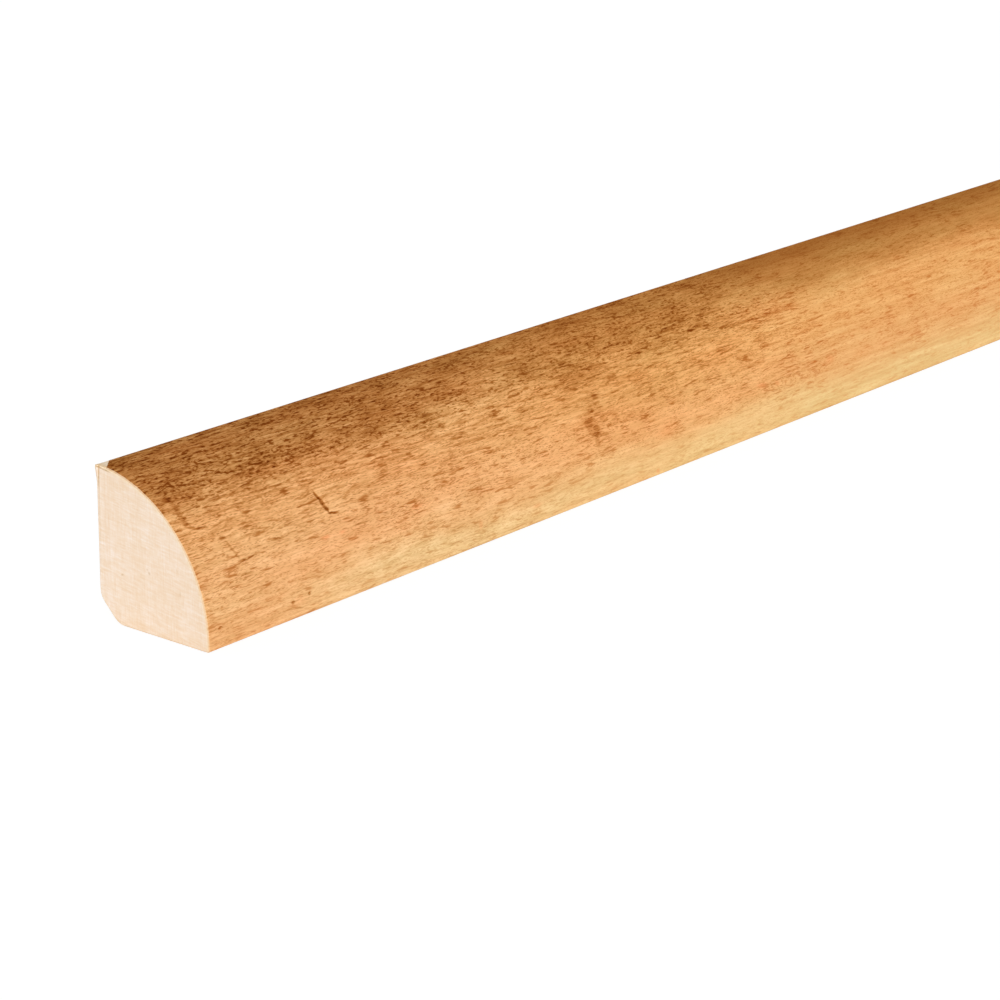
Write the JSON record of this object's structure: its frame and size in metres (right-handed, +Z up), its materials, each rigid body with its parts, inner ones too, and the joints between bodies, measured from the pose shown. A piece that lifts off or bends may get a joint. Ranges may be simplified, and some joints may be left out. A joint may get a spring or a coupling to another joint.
{
  "type": "quarter round moulding",
  "caption": "Straight length of hardwood quarter round trim with flat floor and wall faces, a relieved back corner and a stained, varnished curved face.",
  "frame": {"origin": "middle of the stick's bounding box, at floor level, on the plane of the floor face", "axes": "+X along the stick, away from the cut end that the picture shows; +Y out of the wall face, so the curved face looks towards -Y and up; +Z up, from the floor face to the crown"},
  "size_m": [1.9812, 0.0174, 0.019],
  "materials": {
    "stained_hardwood": "golden brown stain under satin varnish on the curved face; bare planed wood on the floor and wall faces and bare end grain at both cuts"
  },
  "bodies": {
    "root": {"quarter_round": "stained_hardwood"}
  },
  "joints": []
}
